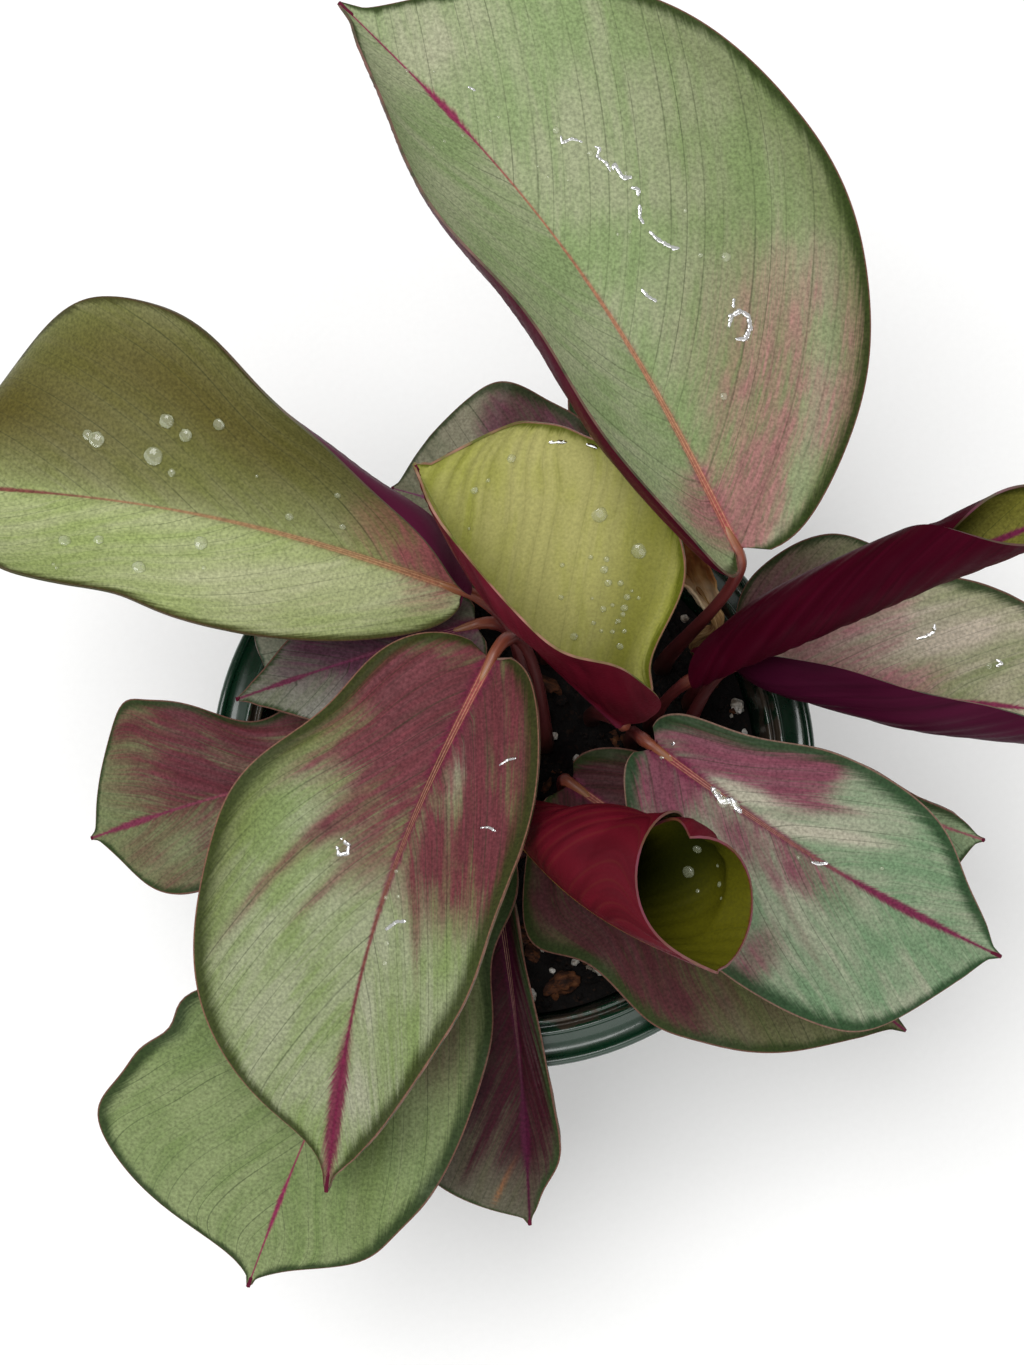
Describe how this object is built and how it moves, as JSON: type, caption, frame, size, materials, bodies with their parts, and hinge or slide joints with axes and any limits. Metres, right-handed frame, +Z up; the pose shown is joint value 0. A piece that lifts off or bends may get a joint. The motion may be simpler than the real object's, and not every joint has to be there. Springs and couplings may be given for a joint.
{
  "type": "potted calathea plant",
  "caption": "Silver-leaved prayer plant with plum-veined leaves and maroon undersides, standing in a round dark green nursery pot filled with potting mix.",
  "frame": {"origin": "middle of the pot's flat base, on the surface that it stands on", "axes": "+Z up along the pot's axis, +X to the viewer's right, +Y away from the side the plant is looked at from"},
  "size_m": [0.288, 0.2861, 0.2399],
  "materials": {
    "pot_plastic": "glossy dark green moulded plastic",
    "potting_mix": "moist dark brown crumbs of peat and bark",
    "bark": "rough split bark",
    "perlite": "chalky white grain with pits",
    "stalk": "smooth maroon-brown petiole, slightly glossy",
    "stalk_dried": "dry tan petiole with lengthwise wrinkles",
    "leaf_silver": "satin silver-green blade, dark green margin, pink midrib, maroon underside",
    "leaf_plum": "satin silver-green blade flushed plum along its veins, maroon underside",
    "leaf_green": "satin mid-green waved blade, magenta midrib, maroon underside",
    "leaf_young": "satin olive-yellow young blade with light coming through",
    "leaf_underside": "satin maroon underside of a rolled young blade",
    "leaf_dried": "papery tan dead blade"
  },
  "bodies": {
    "root": {"pot": "pot_plastic", "soil": "potting_mix", "bark_chip_front": "bark", "bark_chip_right": "bark", "bark_chip_left": "bark", "perlite_front": "perlite", "perlite_front_edge": "perlite", "perlite_right": "perlite", "stalk_back_large": "stalk", "blade_back_large": "leaf_silver", "stalk_left_large": "stalk", "blade_left_large": "leaf_silver", "stalk_centre_cupped": "stalk", "blade_centre_cupped": "leaf_young", "stalk_right_rolled": "stalk", "blade_right_rolled": "leaf_underside", "stalk_right_folded": "stalk", "blade_right_folded": "leaf_silver", "stalk_right_back_low": "stalk", "blade_right_back_low": "leaf_plum", "stalk_front_left_large": "stalk", "blade_front_left_large": "leaf_plum", "stalk_front_left_low": "stalk", "blade_front_left_low": "leaf_green", "stalk_front_low": "stalk", "blade_front_low": "leaf_plum", "stalk_left_low": "stalk", "blade_left_low": "leaf_plum", "stalk_left_small": "stalk", "blade_left_small": "leaf_plum", "stalk_left_back_low": "stalk", "blade_left_back_low": "leaf_silver", "stalk_back_left_low": "stalk", "blade_back_left_low": "leaf_plum", "stalk_back_small": "stalk", "blade_back_small": "leaf_silver", "stalk_front_right_large": "stalk", "blade_front_right_large": "leaf_silver", "stalk_right_low": "stalk", "blade_right_low": "leaf_silver", "stalk_front_right_low": "stalk", "blade_front_right_low": "leaf_plum", "stalk_centre_funnel": "stalk", "blade_centre_funnel": "leaf_underside", "stalk_dried": "stalk_dried", "blade_dried": "leaf_dried"}
  },
  "joints": []
}
